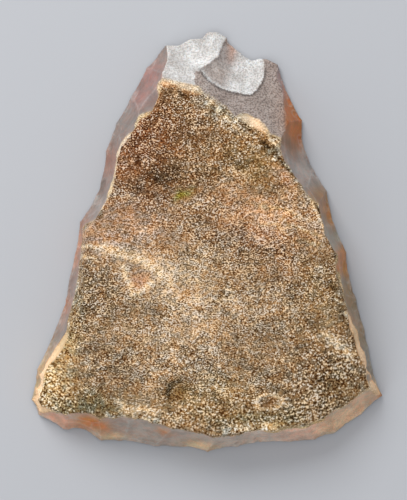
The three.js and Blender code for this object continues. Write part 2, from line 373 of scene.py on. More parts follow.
class Lens:
    """The bed of the hinged flake, used in the same way as a Bed."""

    centre, spread = LENS_MIDDLE, (9, 9)

    def floor(self, x, y):
        share, reach = lens_share(x, y)
        share = np.minimum(share, 1)
        left, right = left_thinning.floor(x, y), right_thinning.floor(x, y)
        base = -LENS_SOFTNESS * np.log(np.exp(-left / LENS_SOFTNESS) + np.exp(-right / LENS_SOFTNESS))
        hinged = fade(x - y + 33, 0, 6)  # the hinge is at the far and right sides
        step = LENS_STEP * fade((1 - share) * reach, 0, 0.45) * (0.3 + 0.7 * hinged)
        struck = np.hypot(x - 7.4, y - 39.5)
        ripple = 0.03 * np.sin(2 * math.pi * struck / 1.7)
        return np.where(share < 1, base - LENS_HOLLOW * (1 - share**2) - step + ripple, np.inf)


lens = Lens()
thinning_beds = [right_thinning, left_thinning, lobe, lens]
print("height in the lens:", lens.floor(np.array([5.9]), np.array([34.8])).round(2))

# %% [markdown]
# Between the big scars there are many small ones: tiny chips on the sharp edge itself, from use and
# from the last trimming, and short spalls where the skin broke away at the brink of a scar. They are
# scattered by a seeded generator, a few on each scar, so that no two places look alike.

# %% Chips and spalls
dice = np.random.default_rng(5)
CHIP_HOLLOW, CHIP_SPACING = 0.16, 1.5
SPALL_HOLLOW, SPALL_SPACING = 0.22, 3


def chips_of(start, end):
    """Tiny chips along the sharp edge of one scar."""
    inward = inward_of(start, end)
    length = np.hypot(*(end - start))
    beds = []
    for _ in range(max(2, round(length / CHIP_SPACING))):
        place = start + (end - start) * dice.uniform(0.05, 0.95) + inward * dice.uniform(-0.1, 0.25)
        half = (end - start) / length * dice.uniform(0.4, 1.1)
        run = dice.uniform(0.35, 1.0)
        top = RIM_LIFT + run * dice.uniform(1.2, 2.2)
        beds.append(Bed(place - half, place + half, run, inward, RIM_LIFT, top, CHIP_HOLLOW, 0))
    return beds


def spalls_of(start, end, reach):
    """Short spalls where the skin broke away at the brink of one scar."""
    inward = inward_of(start, end)
    length = np.hypot(*(end - start))
    beds = []
    for _ in range(max(1, round(length / SPALL_SPACING))):
        drop = dice.uniform(1.2, 3.2)
        brink = (start + end) / 2 + inward * reach
        top = float(dome(*brink))
        share = 1 - drop / (top - RIM_LIFT)
        along = dice.uniform(-0.42, 0.42)
        place = (start + end) / 2 + (end - start) * along + inward * reach * (share * (1 - along**2))
        half = (end - start) / length * dice.uniform(0.8, 2.0)
        run = reach * (1 - share) + dice.uniform(0.1, 0.9)
        beds.append(Bed(place - half, place + half, run, inward, top - drop, top, SPALL_HOLLOW,
                        ripple=0.012, wave=0.7))
    return beds


chip_beds = [bed for start, end, _ in edge_scars for bed in chips_of(start, end)]
spall_beds = [bed for scar in edge_scars for bed in spalls_of(*scar)]
print(f"chips: {len(chip_beds)}, spalls: {len(spall_beds)}")

# %% [markdown]
# Now the whole back is one question: how high is the stone over this point? It is the lowest of the
# skin and all the beds. Along the way two more things are kept for the colours: how deep the point
# lies under the old skin, and how near it is to a ridge where two beds meet.

# %% Height of the back
SCAR_UNEVEN = 0.13  # scars aren't perfect bowls
ALL_BEDS = edge_beds + spall_beds + chip_beds + thinning_beds


def back(x, y):
    """Height of the back, depth under the skin, distance to the next surface up, and its bed."""
    skin_height = skin(x, y)
    lowest, second = skin_height.copy(), np.full(x.shape, np.inf)
    owner = np.full(x.shape, -1)
    for number, bed in enumerate(ALL_BEDS):
        near = (abs(x - bed.centre[0]) < bed.spread[0]) & (abs(y - bed.centre[1]) < bed.spread[1])
        here = np.flatnonzero(near)
        floor = bed.floor(x[here], y[here]) + SCAR_UNEVEN * waves(x[here], y[here], 3.4, 100 + number, 2)
        was = lowest[here]
        lower = floor < was
        second[here] = np.where(lower, was, np.minimum(second[here], floor))
        owner[here] = np.where(lower, number, owner[here])
        lowest[here] = np.minimum(was, floor)
    return lowest, skin_height - lowest, second - lowest, owner


test = back(np.array([0.0, 33.0]), np.array([0.0, -28.0]))
print("back at the middle and near the right corner:", test[0].round(2))

# %% [markdown]
# The mesh is a square grid pulled into the outline: ring after ring of quads, each ring a smaller
# copy of the one outside it. That keeps every face a quad, puts a row of points exactly on the sharp
# edge, and lets the rings crowd together at the rim, where the scars are steep. A plain flat grid
# would cut the rim into stairs.

# %% A grid of rings
TOP_RINGS = 144
UNDER_RINGS = 48
CROWDING = 0.55  # how much closer the outer rings are than the middle ones


def ring_grid(rings):
    """For each point of a square grid its ring and its place along the ring, and the quads."""
    side = np.arange(-rings, rings + 1)
    i, j = (t.ravel() for t in np.meshgrid(side, side, indexing="ij"))
    ring = np.maximum(abs(i), abs(j))
    on_side = [(i == ring) & (j < ring), (j == ring) & (i > -ring), (i == -ring) & (j > -ring)]
    along = np.select(on_side, [j + ring, 3 * ring - i, 5 * ring - j], 7 * ring + i)
    number = np.arange(len(i)).reshape(len(side), len(side))
    quads = [number[:-1, :-1], number[1:, :-1], number[1:, 1:], number[:-1, 1:]]
    quads = np.stack([t.ravel() for t in quads], -1)
    return ring, along / np.maximum(8 * ring, 1), quads


def on_outline(share):
    """The point of the outline at a share of its length, from the right corner, anticlockwise."""
    first = int(np.argmin(np.hypot(*(outline - RIGHT_CORNER).T)))
    closed = np.roll(outline, -first, axis=0)
    closed = np.vstack([closed, closed[:1]])
    length = np.concatenate([[0], np.cumsum(np.hypot(*np.diff(closed, axis=0).T))])
    target = share * length[-1]
    return np.stack([np.interp(target, length, closed[:, k]) for k in (0, 1)], -1)


ring, share, top_quads = ring_grid(TOP_RINGS)
print(f"back: {len(ring)} points and {len(top_quads)} quads")

# %% [markdown]
# The underside is flat in the middle and turns up a little towards the edges. Where the back and the
# underside meet is the sharp edge. It isn't known beforehand, because every chip moves it, so it is
# searched for: from the outline inwards, the first place where the back stands above the underside.
# The underside is the face along which the flake once split off, so faint rings cross it.

# %% The underside and the sharp edge
RIM_SETBACK = 4
FLAT_SHARE = 1 - RIM_SETBACK / np.hypot(*outline.T).mean()
SEARCH_DEPTH, SEARCH_STEPS = 0.07, 71
THINNEST = 0.04  # the back has to stand this far above the underside
SEAM = 0.02  # and at the sharp edge itself this far


def underside(x, y, out):
    """Height of the underside. out is the share of the way from the middle to the outline."""
    turn_up = RIM_LIFT * np.clip((out - FLAT_SHARE) / (1 - FLAT_SHARE), 0, 1)
    from_butt = np.hypot(x - BUTT_SHIFT, y - HALF_LENGTH)
    ripples = 0.07 * (1 + np.sin(from_butt * 0.9)) * fade(waves(x, y, 17, 61, 2), -0.4, 0.5)
    return turn_up + ripples + 0.14 * fade(waves(x, y, 9, 71, 3), 0.15, 0.8)


def edge_share(rim):
    """How far out along each ray the sharp edge lies, as a share of the way to the outline."""
    edge = np.full(len(rim), 1 - SEARCH_DEPTH)
    for out in np.linspace(1 - SEARCH_DEPTH, 1, SEARCH_STEPS):
        x, y = rim[:, 0] * out, rim[:, 1] * out
        edge = np.where(back(x, y)[0] > underside(x, y, out) + THINNEST, out, edge)
    return edge


rim_share = np.arange(8 * TOP_RINGS) / (8 * TOP_RINGS)
rim_edge = edge_share(on_outline(rim_share))
print(f"sharp edge: {100 * (1 - rim_edge.mean()):.1f}% of the way in on average")

# %% The points of the back and of the underside
def laid_out(ring, share, rings):
    """x and y of a ring grid's points, and how far out each is on its way to the outline."""
    step = ring / rings
    out = step * (1 + CROWDING * (1 - step))
    out = out * np.interp(share, rim_share, rim_edge, period=1)
    place = on_outline(share) * out[:, None]
    return place[:, 0], place[:, 1], out


x, y, out = laid_out(ring, share, TOP_RINGS)
z, depth, ridge_gap, owner = back(x, y)
on_rim = ring == TOP_RINGS
z = np.where(on_rim, underside(x, y, out) + SEAM, z)
z = np.maximum(z, underside(x, y, out) + SEAM)

under_ring, under_share, under_quads = ring_grid(UNDER_RINGS)
ux, uy, under_out = laid_out(under_ring, under_share, UNDER_RINGS)
uz = underside(ux, uy, under_out)
print(f"back from {z.min():.2f} to {z.max():.2f} mm, underside up to {uz.max():.2f} mm")

# %% [markdown]
# The two surfaces are sewn together along the sharp edge. The underside is plainer, so it has a
# third as many points there, and each of its edges meets three of the back.

# %% Sew the two together
RATIO = TOP_RINGS // UNDER_RINGS


def rim_numbers(ring, share, rings):
    """The numbers of the outermost ring's points, in order along the outline."""
    numbers = np.flatnonzero(ring == rings)
    return numbers[np.argsort(share[numbers])]


top_rim = rim_numbers(ring, share, TOP_RINGS)
under_rim = rim_numbers(under_ring, under_share, UNDER_RINGS)
kept = np.ones(len(ux), bool)
kept[under_rim] = False
renumbered = np.cumsum(kept) - 1 + len(x)
renumbered[under_rim] = top_rim[::RATIO]

faces = [tuple(quad) for quad in top_quads]
for quad in under_quads[:, ::-1]:
    corners = [int(renumbered[corner]) for corner in quad]
    spread = []
    for a, b in zip(quad, np.roll(quad, -1)):
        spread.append(int(renumbered[a]))
        if not kept[a] and not kept[b]:
            ends = sorted([int(np.flatnonzero(under_rim == t)[0]) for t in (a, b)])
            wraps = ends[1] - ends[0] > 1
            first = ends[1] if wraps else ends[0]
            between = [int(top_rim[(first * RATIO + k) % len(top_rim)]) for k in range(1, RATIO)]
            forward = under_rim[first] == a
            spread += between if forward else between[::-1]
    faces.append(tuple(spread))

points = np.vstack([np.stack([x, y, z], -1), np.stack([ux, uy, uz], -1)[kept]])
print(f"mesh: {len(points)} points, {len(faces)} faces")

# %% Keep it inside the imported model
size = points.max(0) - points.min(0)
middle = (points.max(0) + points.min(0)) / 2
squeeze = np.minimum(1, (high - low) / size)
points[:, :2] = (points[:, :2] - middle[:2]) * squeeze[:2] + ((high + low) / 2)[:2]
points[:, 2] = (points[:, 2] - points[:, 2].min()) * squeeze[2]
print("squeezed by", squeeze.round(4))

mesh = bpy.data.meshes.new("chipped_stone")
mesh.from_pydata(points * MM, [], faces)
mesh.validate()
mesh.polygons.foreach_set("use_smooth", [True] * len(mesh.polygons))
stone = bpy.data.objects.new("chipped_stone", mesh)
bpy.context.scene.collection.objects.link(stone)
triangles = sum(len(face) - 2 for face in faces)
print(f"stone: {triangles} triangles")

# %% [markdown]
# Colour comes next. On the real tool, broad areas differ: the skin is reddish brown near the narrow
# end, ochre to the right, cream at the left corner and mossy along the bottom, and the cut stone
# goes from grey to pink with a few rusty spots. Such areas are easiest to place the way a painter
# would, as soft pools of a named colour, with noise bending their borders. They are worked out once
# for each point and kept on the mesh. The shader adds the speckle that is smaller than a face.

# %% Named colours
def linear(code):
    """A colour for the shader from the usual six-digit code."""
    parts = np.array([int(code[k : k + 2], 16) for k in (0, 2, 4)]) / 255
    return np.where(parts > 0.04045, ((parts + 0.055) / 1.055) ** 2.4, parts / 12.92)


COLOURS = {name: linear(code) for name, code in {
    "umber": "8c6b4a", "russet": "905f40", "gold": "94784f", "dun": "987f65", "straw": "aa9176",
    "pink tan": "b48c72", "rosy tan": "bb9a87", "sand": "c2a68a", "cream": "ccb38b",
    "apricot": "cfa47f", "ivory": "e4d2bb", "peach": "f6d3ae", "chalk": "ddd6c8", "bone": "d8c2a6",
    "blush": "cfae9c", "brick": "a87f6c", "shade": "6a5238", "moss": "80765c", "ash": "b7ad9d",
    "olive": "96903a", "sienna": "8a6038", "bark": "4e4029", "grey stone": "968c87",
    "pink stone": "b08c88", "rose": "bf9580", "pale stone": "b5aaa2", "rust": "b46600",
    "amber": "b87a38", "brown stone": "907048", "frost": "d4d4d2", "mauve": "978a82",
}.items()}


def painted(ground, pools, x, y, bend=1.6):
    """A ground colour with pools of other colours over it, in the order of the list."""
    wx = x + bend * waves(x, y, 4.5, 201, 4)
    wy = y + bend * waves(x, y, 4.5, 211, 4)
    colour = np.tile(COLOURS[ground], (len(x), 1))
    for name, place, size, turn, strength in pools:
        share = np.clip(strength * pool(wx, wy, place, size, turn), 0, 1)[:, None]
        colour = colour * (1 - share) + COLOURS[name] * share
    return colour


print("colours:", ", ".join(COLOURS))

# %% [markdown]
# Each pool has a colour, a middle, two half lengths, a turn and a strength. Later pools lie over
# earlier ones, so the lists go from broad areas to small spots.

# %% Pools of colour on the skin
SKIN_POOLS = [
    ("umber", (2, 24), (22, 13), 0, 1.3), ("russet", (-14, 19), (8, 13), 0, 0.85),
    ("gold", (11, 15), (8, 6), -30, 0.8), ("rosy tan", (-19, 2.6), (10, 5.4), 0, 1),
    ("sand", (-20, 3.2), (8, 2.6), 0, 0.4), ("pink tan", (11, 5.6), (10, 4), -14, 0.85),
    ("apricot", (13.6, 5.2), (7.4, 2.8), -15, 0.8), ("umber", (1.6, 1.6), (5, 3.6), 0, 0.7),
    ("russet", (9.4, 1.4), (7, 2.6), -12, 0.5), ("umber", (11.6, -2.8), (10, 2.6), -5, 0.6),
    ("shade", (3, 18), (6, 4), 0, 0.2), ("cream", (14, 6.6), (6, 0.5), -15, 0.7),
    ("cream", (18.5, 2.6), (4.5, 0.45), -18, 0.7), ("cream", (12, 3.2), (5, 0.4), -15, 0.5),
    ("cream", (20, 0), (3, 0.4), -15, 0.6), ("shade", (-22.4, -9.2), (5, 4.8), 0, 0.72),
    ("sand", (-4, -16), (5, 3.4), 0, 0.8), ("sand", (-9.6, -4.6), (8, 3.4), -28, 0.45),
    ("sand", (-3.6, -7), (4.6, 4.4), 0, 1), ("cream", (-3.4, -6.6), (3.4, 2.6), 0, 0.4),
    ("straw", (1, -12), (11, 8), 0, 1), ("sand", (-3, -13), (7, 4), -50, 0.9),
    ("dun", (-10.8, -11), (3.2, 4), 0, 0.7), ("dun", (-17.6, -7), (3.4, 3), 0, 0.7),
    ("apricot", (16, -5), (4, 3), 0, 0.5), ("apricot", (15.4, 8.4), (3, 2), 0, 0.5),
    ("sienna", (21.6, 3.6), (2.2, 2.4), 0, 0.4), ("russet", (11, 1.4), (11, 6), -10, 0.2),
    ("umber", (9, -6), (4, 2.6), 0, 0.5), ("umber", (-4, 27.2), (2.4, 1.6), 0, 0.8),
    ("dun", (9, -15.4), (5, 4), 0, 0.8), ("umber", (2.6, 6.6), (4, 4), 0, 0.5),
    ("pink tan", (15.2, 12.8), (3, 2), -40, 0.8), ("sand", (-10, -22), (5, 4.6), 0, 0.7),
    ("sand", (-10.4, -30), (3, 2.2), 0, 0.8), ("umber", (21.4, -20.6), (2.6, 2.6), 0, 0.6),
    ("straw", (9, -23), (5, 4), 0, 0.6), ("shade", (-9.6, 12.6), (5, 2.8), 10, 0.7),
    ("shade", (-16.6, 8.6), (3.4, 2.4), 0, 0.4), ("shade", (-4.5, 28), (4, 1.5), -15, 0.5),
    ("gold", (22, -10), (5, 9), 10, 0.5), ("moss", (-23, -31.4), (5.4, 2.6), -10, 0.8),
    ("shade", (-18.8, -27.4), (5, 3), 0, 0.3), ("moss", (26.4, -28.4), (4.2, 4.6), 0, 0.35),
    ("moss", (8, -34.8), (8, 1.8), 0, 0.9), ("moss", (16, -35.6), (4, 2.4), 20, 0.7),
    ("gold", (0, -32), (12, 5), 0, 0.5), ("moss", (-27, -12), (2.2, 6), 0, 0.6),
    ("cream", (-31.4, -26.6), (4.4, 4.8), 0, 0.95), ("moss", (-25, -32.6), (9, 1.7), -4, 1),
    ("cream", (-27.4, -20), (1.8, 3.6), 0, 1), ("ash", (3, 25.6), (4.6, 2.2), -35, 0.9),
    ("apricot", (-6.4, 31), (3.6, 1.4), -8, 1.2), ("apricot", (8.8, 23.6), (2.2, 1.3), -40, 1),
    ("ash", (17.6, 16.6), (2.6, 0.9), -45, 0.9), ("cream", (12, -36.6), (5, 0.8), 4, 0.7),
    ("cream", (2, -28), (4, 2.4), 0, 0.5), ("olive", (-4.4, 9.3), (1.9, 0.6), 15, 1.2),
    ("pink tan", DENT, (2.2, 1.8), 20, 0.9), ("sienna", RING, (1.9, 1), 0, 1),
    ("gold", PIT, (2.4, 2), 0, 0.9),
]
print("pools on the skin:", len(SKIN_POOLS))

# %% Pools of colour on the cut stone and on its rind
STONE_POOLS = [
    ("pink stone", (-11.5, 33), (2.6, 3.4), 0, 1.1), ("pink stone", (-13.6, 28.6), (2.2, 2.2), 0, 0.9),
    ("brick", (-19.2, 16.2), (2.2, 3.6), -20, 1.1), ("pale stone", (-21.6, 7.5), (2, 1.6), 0, 0.6),
    ("rose", (-25.6, -0.5), (1.5, 5.5), -10, 1.2), ("rose", (-28.8, -13), (1.5, 3), -15, 1),
    ("cream", (-33.2, -27), (2.4, 7), -10, 1.2), ("rose", (-30, -35.2), (3.6, 1.8), -25, 1.2),
    ("amber", (-23, -36.2), (3.8, 1.5), -15, 1.2), ("rust", (-22, -36.6), (1.5, 0.8), 0, 0.9),
    ("cream", (-19.6, -38.8), (3, 0.8), 0, 0.7), ("pale stone", (-13, -37.6), (5, 1.6), 0, 0.2),
    ("amber", (-8.5, -37.4), (1.6, 0.7), -20, 0.7), ("cream", (-1.5, -40.4), (3.5, 1.2), 0, 0.8),
    ("pale stone", (9, -39), (6, 2.4), 0, 1), ("blush", (21, -36.6), (7, 2.4), 15, 1.2),
    ("blush", (31, -31.8), (5, 3), 35, 1.4), ("rust", (34.8, -30.4), (0.9, 1), 0, 1),
    ("amber", (17.2, 24.6), (3, 4.8), 8, 1.4), ("rust", (17.4, 25), (2.6, 4.8), 8, 1.8),
    ("sienna", (16.4, 19.4), (1.1, 2.6), 20, 1), ("pale stone", (19.4, 15), (2, 3), 30, 0.7),
    ("brown stone", (22.4, 8.4), (2.2, 3.4), 25, 1.1), ("sienna", (23, 7), (1.6, 3), 20, 0.8),
    ("amber", (24.2, 6), (1.6, 2.6), 15, 1), ("amber", (26.8, -3.6), (1.8, 2.6), 0, 1.3),
    ("rust", (26.9, -3.8), (1.2, 1.8), 0, 1.2), ("brown stone", (28, -10.8), (1.9, 2.6), 0, 1.2),
    ("amber", (27.4, -15), (1.4, 1.6), 0, 0.9), ("brown stone", (30.4, -17.6), (1.8, 3.4), 0, 0.8),
    ("amber", (27.4, -5), (1.6, 2), 0, 0.9), ("rose", (5, 39), (1.1, 2.4), 15, 0.9),
    ("pale stone", (2, 33.6), (3, 2.4), 0, 0.7), ("pink stone", (13.4, 33), (1.6, 5), 20, 0.7),
]
RIND_POOLS = [
    ("ash", (3, 27), (7, 2.4), -30, 1), ("ivory", (-5, 32), (6, 2), 0, 1),
    ("apricot", (-7, 30.8), (2.2, 0.8), 0, 0.9), ("peach", (9.9, 22.8), (2.6, 2.2), -45, 1),
    ("peach", (-33, -27), (4, 9), 0, 0.9), ("ivory", (-17, 18), (3, 8), 0, 1),
    ("peach", (32.6, -25), (3, 8), 20, 1.2), ("ash", (17.5, 17), (3, 3), 0, 0.8),
    ("ivory", (-22, 7), (3, 3), 0, 0.7), ("peach", (27.4, -15), (2, 2.4), 0, 1),
]
print("pools on the cut stone:", len(STONE_POOLS), "and on the rind:", len(RIND_POOLS))

# %% [markdown]
# The brink, where skin and scar meet, isn't a clean line. In places the pale rind is thick, in others
# the skin runs on down into the scar, and dark lines and pale flecks break the skin next to it.
# Each of these is a chain of points with a width, and a third number that says how much.

# %% Lines along the brink
RIND_LINES = [  # how thick the rind is
    ([(-9.6, 31), (-6, 31), (-2.8, 30.4)], 1.2, 1.1), ([(7.4, 24.8), (10.2, 22.8)], 1.4, 2.2),
    ([(-12.6, 26), (-14.8, 23.4)], 0.9, 1.3),
    ([(-16.2, 20.6), (-17.8, 16.6), (-18.4, 13), (-19.6, 10)], 1.1, 1.8),
    ([(-24.4, 6), (-22, 7)], 1.1, 1.8),
    ([(27.6, -15.4), (29.8, -19.4), (32, -23.4), (33.4, -28), (34.4, -30)], 1.3, 3.4),
    ([(-28.5, -20), (-34, -26), (-35, -31), (-33, -33)], 2.2, 3), ([(26, -2), (26.2, -9)], 0.7, 1.4),
    ([(12, -37.6), (24, -35.6)], 1, 1.2), ([(-28, -8), (-28.5, -14)], 0.8, 0.9),
]
CRUST_LINES = [  # how deep the skin runs down, or how much of it is worn away where it is negative
    ([(-24.6, 5), (-25.2, -5.6), (-26.7, -11.6), (-27.4, -15.6)], 1.7, 4.4),
    ([(25.6, -8), (26.6, -13)], 0.9, 1.2), ([(7, 25), (10.4, 22.8)], 1.6, -2),
    ([(-8, -35), (0, -37), (6, -37)], 1.2, 1.4),
]
FLECK_LINES = [
    ([(0.4, 27), (3, 25.4), (7.8, 22.4)], 1.2, 0.8), ([(10.6, 19.2), (14, 16), (18, 12.6)], 0.9, 0.9),
    ([(18.4, 12), (21.4, 8), (23.6, 3.6)], 0.6, 0.8), ([(-25, 3.4), (-23, 6), (-20.6, 8.6)], 1, 0.9),
    ([(-26.4, -8), (-27.6, -16)], 1, 0.7), ([(25.6, -11), (30, -18), (32.6, -24)], 1, 0.7),
    ([(-22, -34.4), (-10, -35.6)], 0.9, 0.6), ([(2, -37.4), (18, -36.6)], 0.9, 0.6),
]
DARK_LINES = [
    ([(10.6, 19.8), (13.8, 16.6), (17.2, 12.8)], 0.6, 0.85),
    ([(17.4, 13), (20.8, 9), (23.2, 4.6), (24.8, 0.4), (25.2, -3)], 0.45, 0.9),
    ([(-9, 30), (-6, 30.2), (-3.6, 28.8)], 0.6, 0.6),
    ([(-0.5, 27.6), (3.6, 25.6), (8, 22.8)], 0.5, 0.6),
    ([(-25, 2.8), (-23.6, 4.6), (-21.4, 5.8)], 0.7, 0.7),
    ([(25, -9), (26, -13), (29, -18.4), (31.6, -23)], 0.7, 0.6),
]


def strongest(lines):
    """How strongly any of the lines shows at each point of the back."""
    return np.max([share * line(x, y, points, width) for points, width, share in lines], axis=0)


print("lines along the brink:", sum(map(len, (RIND_LINES, CRUST_LINES, FLECK_LINES, DARK_LINES))))

# %% [markdown]
# The speckle of the skin differs too. Where it is bare, more of its grains are pale. Where it is
# calm, they differ less. Where it is coarse, they are bigger. These pools have no colour or turn.

# %% Where the speckle changes
BARE_POOLS = [
    ((-31, -28), (6, 7), -0.05), ((-8, -6), (8, 5), 0.22), ((-4, -15), (6, 5), 0.15),
    ((9, 3), (12, 5), 0.2), ((4, -12), (9, 5), 0.15), ((-7.6, 12.8), (6, 3.8), -0.35),
    ((-23, -32), (5, 2), -0.3), ((25, -29), (5, 3), -0.25), ((-28, -14), (3, 8), -0.25),
    ((-12, 24), (8, 8), -0.15), (PIT, (2.2, 2), -0.2), (DENT, (2, 1.6), 0.3),
]
CALM_POOLS = [
    ((-19, 3), (9, 5), 0.55), ((-12, -5), (8, 6), 0.5), ((10, 5), (12, 5), 0.35),
    ((4, -13), (11, 7), 0.3), ((-17, -27), (7, 3.4), 0.45), ((-4, 17), (12, 6), 0.15),
    (DENT, (2.4, 2), 0.6), ((-4.4, 9.3), (2, 0.7), 0.9), (PIT, (1.6, 1.5), 0.5), (RING, (1.8, 1), 0.5),
]
COARSE_POOLS = [
    ((25, -26), (9, 11), 0.8), ((-31, -28), (6, 7), 0.9), ((0, -35), (32, 4), 0.7),
    ((12, 20), (8, 8), 0.3),
]


def shares_of(ground, pools):
    """A number over the back: a ground value, plus soft pools of more or less of it."""
    wx, wy = x + 1.2 * waves(x, y, 3, 251, 3), y + 1.2 * waves(x, y, 3, 261, 3)
    return np.clip(ground + sum(share * pool(wx, wy, place, size) for place, size, share in pools), 0, 1)


print("pools of speckle:", len(BARE_POOLS) + len(CALM_POOLS) + len(COARSE_POOLS))

# %% [markdown]
# Now the skin is painted. Light and dark patches go over the pools, and the marks go over both. The
# ring and the creases are pale. The lines along the brink are dark, and the wall of the pit on the side
# of the light gets painted shade, because it faces away from the light.

# %% The colour of the skin
PATCHINESS = 0.32


def towards(colour, name, share):
    """A colour moved towards a named one, by a share for each point."""
    return colour + (COLOURS[name] - colour) * share[:, None]


skin_colour = painted("dun", SKIN_POOLS, x, y)
skin_colour = skin_colour * (1 + PATCHINESS * waves(x, y * 1.3, 3.4, 291, 2))[:, None]
pale_line = np.exp(-(((ring_share(x, y) - 1) / 0.2) ** 2)) * 0.9
for points, width in CREASES:
    pale_line = np.maximum(pale_line, 0.85 * line(x, y, points, width))
skin_colour = towards(skin_colour, "bone", pale_line)
# painted shade: a dark crescent on the wall of the pit that faces away from the light
pit_out = np.hypot((x - PIT[0]) / PIT_SIZE[0], (y - PIT[1]) / PIT_SIZE[1])
pit_shade = np.exp(-(((pit_out - 0.85) / 0.24) ** 2)) * fade(0.6 * (y - PIT[1]) - (x - PIT[0]), 0, 2)
dark_lines_and_pit_shade = np.maximum(strongest(DARK_LINES), 0.8 * pit_shade)
skin_colour = towards(skin_colour, "bark", dark_lines_and_pit_shade)
flecks = strongest(FLECK_LINES) * fade(waves(x, y, 1.1, 311, 2), 0, 0.3)
skin_colour = towards(skin_colour, "chalk", flecks)
print("mean colour of the skin:", skin_colour.mean(0).round(3))

# %% [markdown]
# The cut stone takes its own pools. Each of its three long edges gets a faint tint as well: partly
# painted light and shade, because the edges face the light in different ways, and partly the colour of
# the stone, which is thinner and more see-through along some of them.

# %% The colour of the cut stone
LEFT_TINT, RIGHT_TINT, NEAR_TINT = (-0.22, -0.27, -0.3), (0.03, 0.05, -0.12), (0.26, 0.19, 0.08)
stone_colour = painted("grey stone", STONE_POOLS, x, y, 1.1)
left_side = fade(-x, 6, 10) * fade(y, -32, -26)
right_side = fade(x, 20, 24) * fade(-y, -12, -4)
near_side = fade(-y - 0.12 * abs(x), 27, 31)
# painted light and shade on each long edge, mixed with the colour of the thinner, see-through stone
for side, tint in ((left_side, LEFT_TINT), (right_side, RIGHT_TINT), (near_side, NEAR_TINT)):
    stone_colour = stone_colour * (1 + side[:, None] * tint)
print("mean colour of the cut stone:", stone_colour.mean(0).round(3))

# %% [markdown]
# Under the skin lies a thin pale rind, where weather has turned the stone chalky. A scar cuts
# through it, so along the brink of most scars there is a cream line. It is drawn by depth alone: the
# first few tenths of a millimetre under the old skin are cream, and below that is fresh stone.

# %% Skin, rind or cut stone
THINNEST_RIND, USUAL_RIND = 0.03, 0.1
thick = sum(extra * line(x, y, points, width) for points, width, extra in RIND_LINES)
over_brink = sum(extra * line(x, y, points, width) for points, width, extra in CRUST_LINES)
ragged = (0.8 + 0.6 * fade(-y, 27, 31)) * fade(-y, -31, -26)  # most along the working edge
crust = np.maximum(ragged * waves(x, y, 2.2, 301, 3) + over_brink, 0)
below_crust = depth - crust
uneven = 0.5 * waves(x, y, 3.6, 231, 3) * fade(-y, -32, -28)
rind_thickness = np.maximum(USUAL_RIND + uneven + thick, THINNEST_RIND)
cut = fade(below_crust, 0.05, 0.25)  # 0 on the skin, 1 in the rind and below it
fresh = fade(below_crust - rind_thickness, 0, 0.4)  # 1 below the rind
print(f"fresh stone on {100 * fresh.mean():.0f}% of the back's points")

# %% [markdown]
# The scars at the narrow end each have a look of their own. The far left one, the lobe on it and most
# of the lens are white: partly the frost of the stone, partly painted glare where they face the light,
# and the lobe gets a little more painted glare. The broad right one is mauve. The lip of the hinge gets
# a painted highlight, with a thin painted shadow outside the lens. Every ridge gets a faint painted
# highlight.

# %% The scars at the narrow end
WHITENESS, MAUVENESS = 0.84, 0.85
# strengths of the painted glare on the lobe, the painted highlights on ridges and hinge, and the painted
# shadow outside the hinge
LOBE_SHINE, RIDGE_SHINE, HINGE_SHINE, HINGE_SHADOW = 0.12, 0.25, 1.8, 0.65
HINGE_TOP = 34.9  # the hinge runs along the rim of the lens up to this y
narrow_beds = {"left": left_thinning, "right": right_thinning, "lens": lens, "lobe": lobe}
on_bed = {name: owner == ALL_BEDS.index(bed) for name, bed in narrow_beds.items()}
beside_lens = (x > -2.6) & (y < 34)
far_left = on_bed["left"] & ~beside_lens | on_bed["lobe"] | on_bed["right"] & (x < 4.3) & (y > 34.4)
broad = on_bed["right"] | on_bed["left"]
inside_edge = fade(-x, -16.2, -14.8)  # 0 on the rusty facet at the right edge
# the white here is partly frosted stone and partly painted glare, on the far left scars and on the side
# of the lens that catches the light
from_left = x - LENS_MIDDLE[0] - 0.3 * (y - LENS_MIDDLE[1]) + 0.6 * waves(x, y, 2.4, 281, 2)
frost_and_painted_glare = far_left * WHITENESS + on_bed["lens"] * (0.08 + 0.78 * fade(from_left, -2.6, 0.6))
stone_colour = towards(stone_colour, "frost", frost_and_painted_glare)
# a little more painted glare on the lobe
stone_colour = stone_colour * (1 + LOBE_SHINE * on_bed["lobe"])[:, None]
stone_colour = towards(stone_colour, "mauve", (broad & ~far_left) * MAUVENESS * inside_edge)

lens_out, lens_reach = lens_share(x, y)
to_hinge = (1 - lens_out) * lens_reach  # mm inside the rim of the lens, negative outside it
along_hinge = fade(HINGE_TOP - y, 0, 0.8)
# painted highlight along the lip of the hinge, and a painted shadow just outside it
hinge = on_bed["lens"] * np.exp(-((to_hinge / 0.36) ** 2)) * along_hinge
painted_hinge_shadow = ~on_bed["lens"] * np.exp(-(((to_hinge + 0.2) / 0.25) ** 2)) * along_hinge
# painted highlight on every ridge and, stronger, on the hinge, in the frost colour
ridge = np.clip(RIDGE_SHINE * np.exp(-((ridge_gap / 0.12) ** 2)) + HINGE_SHINE * hinge, 0, 1) * fresh
stone_colour = towards(stone_colour, "frost", 0.8 * ridge)
# painted shadow outside the hinge
stone_colour = stone_colour * (1 - HINGE_SHADOW * painted_hinge_shadow)[:, None]

grainy = broad * (0.2 + 0.75 * inside_edge)
frosted = np.where(far_left, 0.5, grainy + 0.6 * on_bed["lens"])
frosted = np.maximum(frosted, 0.14 + 0.16 * near_side * fade(x, -6, 4))
print("points on each scar:", {name: int(here.sum()) for name, here in on_bed.items()})

# %% [markdown]
# A thick rind shows as a rounded pale band with rusty sides. Then the three are put together by depth:
# skin on top, rind below it, and cut stone at the bottom.

